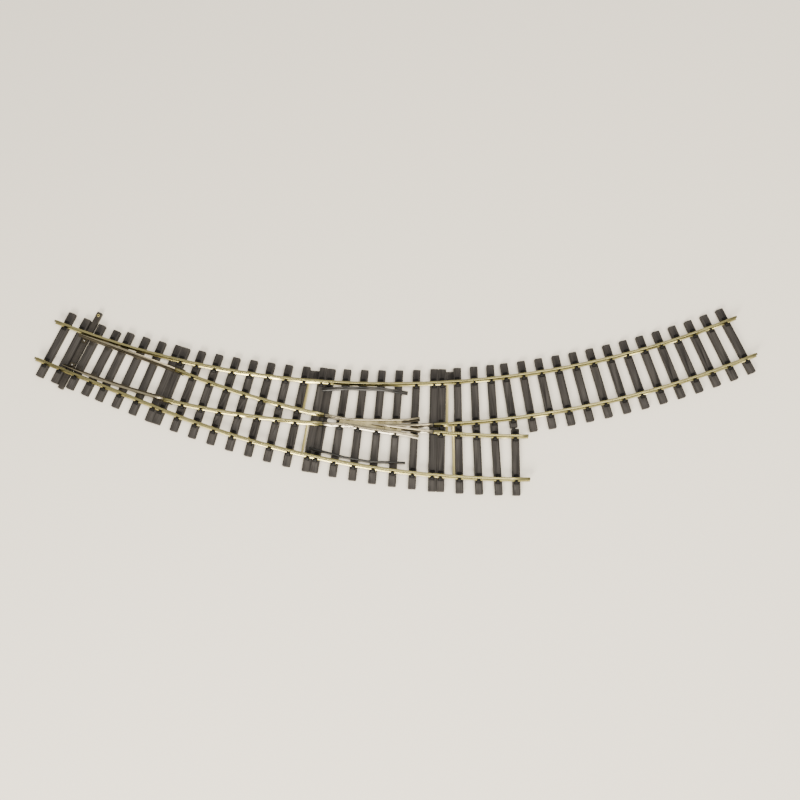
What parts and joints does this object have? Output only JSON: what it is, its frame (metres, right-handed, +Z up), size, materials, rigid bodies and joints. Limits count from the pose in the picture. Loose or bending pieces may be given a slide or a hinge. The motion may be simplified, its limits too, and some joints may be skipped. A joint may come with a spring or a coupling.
{
  "type": "model railway turnout",
  "caption": "Left-hand curved turnout for 45 mm gauge model track: brass rails on moulded sleepers, pivoted blades joined by a sliding tie bar, insulated crossing and check rails.",
  "frame": {"origin": "middle of the whole turnout's box at the underside of the sleepers", "axes": "+Z up from the sleepers' undersides; +X along the chord of the inner route, from the toe end to its far end; +Y towards the inside of the curve"},
  "size_m": [0.8006, 0.2121, 0.0105],
  "materials": {
    "sleeper_plastic": "moulded brown-grey plastic with wood grain",
    "rail_brass": "drawn brass rail, slightly dulled",
    "nickel_silver": "machined nickel silver",
    "crossing_filler": "cast nickel silver, matt",
    "plate_metal": "stamped sheet, dull",
    "pin_steel": "turned steel",
    "jumper_brass": "flat brass strip",
    "check_rail_plastic": "black moulded plastic with a slight sheen",
    "joiner_plastic": "black insulating plastic",
    "tie_bar_plastic": "black moulded plastic"
  },
  "bodies": {
    "track": {"switch_sleepers": "sleeper_plastic", "closure_sleepers": "sleeper_plastic", "crossing_sleepers": "sleeper_plastic", "junction_sleepers": "sleeper_plastic", "exit_sleepers": "sleeper_plastic", "stock_rail_inner": "rail_brass", "stock_rail_outer": "rail_brass", "closure_rail_inner": "rail_brass", "closure_rail_outer": "rail_brass", "exit_rail_inner": "rail_brass", "exit_rail_outer": "rail_brass", "crossing_vee": "nickel_silver", "wing_rail_upper": "nickel_silver", "wing_rail_lower": "nickel_silver", "filler_blocks": "crossing_filler", "throat_plate": "crossing_filler", "slide_plates": "plate_metal", "heel_plate_left": "plate_metal", "heel_plate_right": "plate_metal", "heel_pin_left": "pin_steel", "heel_pin_right": "pin_steel", "jumper_approach_inner": "jumper_brass", "jumper_approach_outer": "jumper_brass", "jumper_exit_inner": "jumper_brass", "jumper_exit_outer": "jumper_brass", "check_rail_inner": "check_rail_plastic", "check_rail_outer": "check_rail_plastic", "joiner_approach_inner": "joiner_plastic", "joiner_approach_outer": "joiner_plastic", "joiner_exit_inner": "joiner_plastic", "joiner_exit_outer": "joiner_plastic"},
    "tie_bar": {"tie_bar": "tie_bar_plastic", "link_pins": "pin_steel"},
    "blade_left": {"blade_left": "nickel_silver"},
    "blade_right": {"blade_right": "nickel_silver"}
  },
  "joints": [
    {"name": "tie_bar_slide", "type": "slide", "parent": "track", "child": "tie_bar", "axis": [0.3827, 0.9239, 0], "range_m": [-0.0024, 0.0024]},
    {"name": "blade_left_pivot", "type": "hinge", "parent": "track", "child": "blade_left", "pos_m": [-0.24592, 0.03753, 0.0054], "axis": [0, 0, 1], "range_deg": [-1.4, 1.4]},
    {"name": "blade_right_pivot", "type": "hinge", "parent": "track", "child": "blade_right", "pos_m": [-0.25728, 0.00257, 0.0054], "axis": [0, 0, 1], "range_deg": [-1.4, 1.4]}
  ],
  "couplings": [
    {"joint": "blade_left_pivot", "follows": "tie_bar_slide", "rad_per_m": -9.4073},
    {"joint": "blade_right_pivot", "follows": "tie_bar_slide", "rad_per_m": -9.4073}
  ]
}
